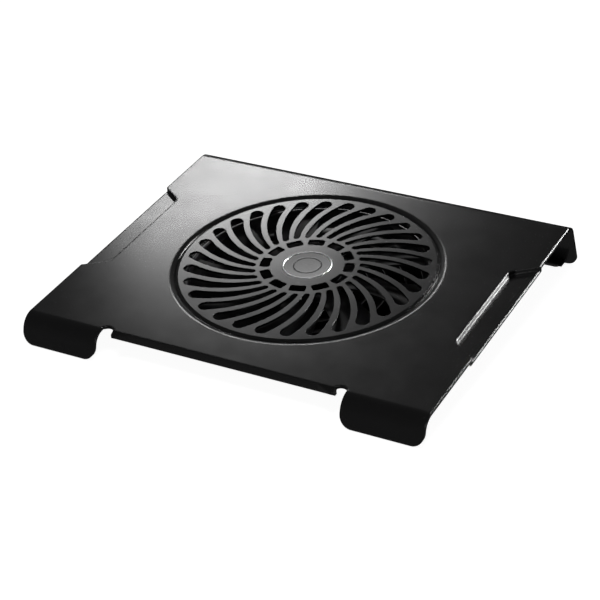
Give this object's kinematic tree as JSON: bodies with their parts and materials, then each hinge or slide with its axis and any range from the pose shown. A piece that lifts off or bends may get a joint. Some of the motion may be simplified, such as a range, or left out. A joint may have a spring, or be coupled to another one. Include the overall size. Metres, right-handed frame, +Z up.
{
  "type": "laptop cooling pad",
  "caption": "Laptop cooling pad: a tilted one-piece deck on splayed legs, with a large fan under a round grille of curved slots and a switch box under the back edge.",
  "frame": {"origin": "on the ground, under the middle of the pad's overall box", "axes": "+X to the user's right, along the pad's width; +Y away from the user, to the higher back edge; +Z up"},
  "size_m": [0.389, 0.3452, 0.0519],
  "materials": {
    "deck_black": "satin black moulded plastic, fine texture",
    "grille_black": "satin black moulded plastic",
    "bright_ring": "polished",
    "badge_grey": "dark spun metal",
    "black_steel": "black oxide screws",
    "frame_black": "matt black moulded plastic",
    "blade_black": "gloss black moulded plastic",
    "yoke_steel": "plated steel",
    "magnet_grey": "bonded ferrite",
    "bright_steel": "ground steel",
    "bronze": "sintered bronze",
    "white_plastic": "natural moulded plastic",
    "lamination": "stacked steel laminations",
    "copper": "enamelled copper wire",
    "board_green": "green solder resist",
    "lead_red": "red and black wire insulation",
    "socket_steel": "nickel plated shell",
    "switch_black": "black moulded plastic",
    "pad_rubber": "matt black rubber"
  },
  "bodies": {
    "base": {"top_panel": "deck_black", "fan_grille": "grille_black", "badge_ring": "bright_ring", "badge_disc": "badge_grey", "grille_screws": "black_steel", "fan_frame": "frame_black", "fan_screws": "black_steel", "bearing_sleeve": "bronze", "thrust_pad": "white_plastic", "stator_core": "lamination", "stator_insulator": "white_plastic", "stator_windings": "copper", "motor_board": "board_green", "bottom_guard": "frame_black", "guard_screws": "black_steel", "fan_lead": "lead_red", "control_housing": "frame_black", "housing_screws": "black_steel", "control_board": "board_green", "board_screws": "bright_steel", "fan_connector": "white_plastic", "power_socket_shell": "socket_steel", "power_socket_tongue": "switch_black", "switch_body": "switch_black", "front_left_foot": "pad_rubber", "front_right_foot": "pad_rubber", "rear_left_foot": "pad_rubber", "rear_right_foot": "pad_rubber"},
    "rotor": {"impeller": "blade_black", "rotor_yoke": "yoke_steel", "rotor_magnet": "magnet_grey", "rotor_shaft": "bright_steel", "shaft_clip": "bright_steel"},
    "knob": {"switch_knob": "switch_black"}
  },
  "joints": [
    {"name": "fan_spin", "type": "hinge", "parent": "base", "child": "rotor", "pos_m": [0, 0.00013, 0.02786], "axis": [0, -0.0854, 0.9963], "continuous": true},
    {"name": "power_switch_slide", "type": "slide", "parent": "base", "child": "knob", "axis": [1, 0, 0], "range_m": [0, 0.004]}
  ]
}
